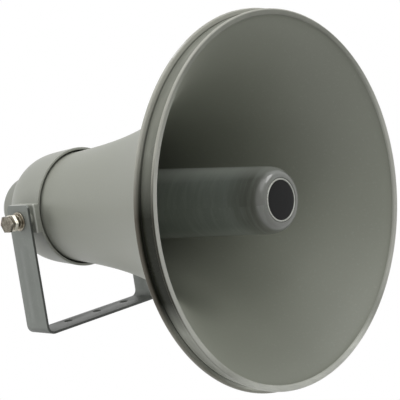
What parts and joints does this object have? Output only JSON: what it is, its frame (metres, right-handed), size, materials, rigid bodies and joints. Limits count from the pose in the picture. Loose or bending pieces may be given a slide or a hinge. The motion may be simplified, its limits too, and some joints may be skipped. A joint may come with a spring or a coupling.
{
  "type": "public address horn loudspeaker",
  "caption": "Re-entrant public address horn with a wide flared bell, central reflector tube, rear driver housing and a tilting U bracket.",
  "frame": {"origin": "middle of the underside of the U bracket's bar, straight below the pivot bolts", "axes": "+Z from the bar up to the pivot bolts, the bell's mouth faces -Y, +X along the pivot bolts"},
  "size_m": [0.4104, 0.4717, 0.4104],
  "materials": {
    "grey_green_paint": "semi-gloss",
    "grey_bracket_paint": "semi-gloss",
    "cast_aluminium": "satin",
    "zinc_plated_steel": "bright",
    "silver_border": "satin",
    "black_gloss": "gloss",
    "black_plastic": "matte",
    "black_rubber": "matte",
    "ferrite": "matte",
    "copper_wire": "bright",
    "phenolic_sheet": "satin"
  },
  "bodies": {
    "bracket": {"bracket": "grey_bracket_paint"},
    "horn": {"bell": "grey_green_paint", "drum": "grey_green_paint", "neck_gasket": "black_rubber", "reflector": "grey_green_paint", "badge": "black_gloss", "badge_border": "silver_border", "reflector_spider": "cast_aluminium", "reflector_screw": "zinc_plated_steel", "tone_arm": "cast_aluminium", "tone_arm_screw_1": "zinc_plated_steel", "tone_arm_screw_2": "zinc_plated_steel", "tone_arm_screw_3": "zinc_plated_steel", "throat_gasket": "black_rubber", "throat_plate": "cast_aluminium", "diaphragm": "phenolic_sheet", "voice_coil": "copper_wire", "top_plate": "zinc_plated_steel", "magnet": "ferrite", "back_plate": "zinc_plated_steel", "terminal_block": "black_plastic", "driver_screw_1": "zinc_plated_steel", "driver_screw_2": "zinc_plated_steel", "driver_screw_3": "zinc_plated_steel", "rear_cover": "grey_green_paint", "cover_screw_1": "zinc_plated_steel", "cover_screw_2": "zinc_plated_steel", "cover_screw_3": "zinc_plated_steel", "cable_gland": "black_plastic", "flat_washer_left": "zinc_plated_steel", "flat_washer_right": "zinc_plated_steel", "spring_washer_left": "zinc_plated_steel", "spring_washer_right": "zinc_plated_steel", "lock_nut_left": "zinc_plated_steel", "lock_nut_right": "zinc_plated_steel", "pivot_bolt_left": "zinc_plated_steel", "pivot_bolt_right": "zinc_plated_steel"}
  },
  "joints": [
    {"name": "horn_tilt", "type": "hinge", "parent": "bracket", "child": "horn", "pos_m": [0, 0, 0.142], "axis": [1, 0, 0], "range_deg": [-215, 40]}
  ]
}
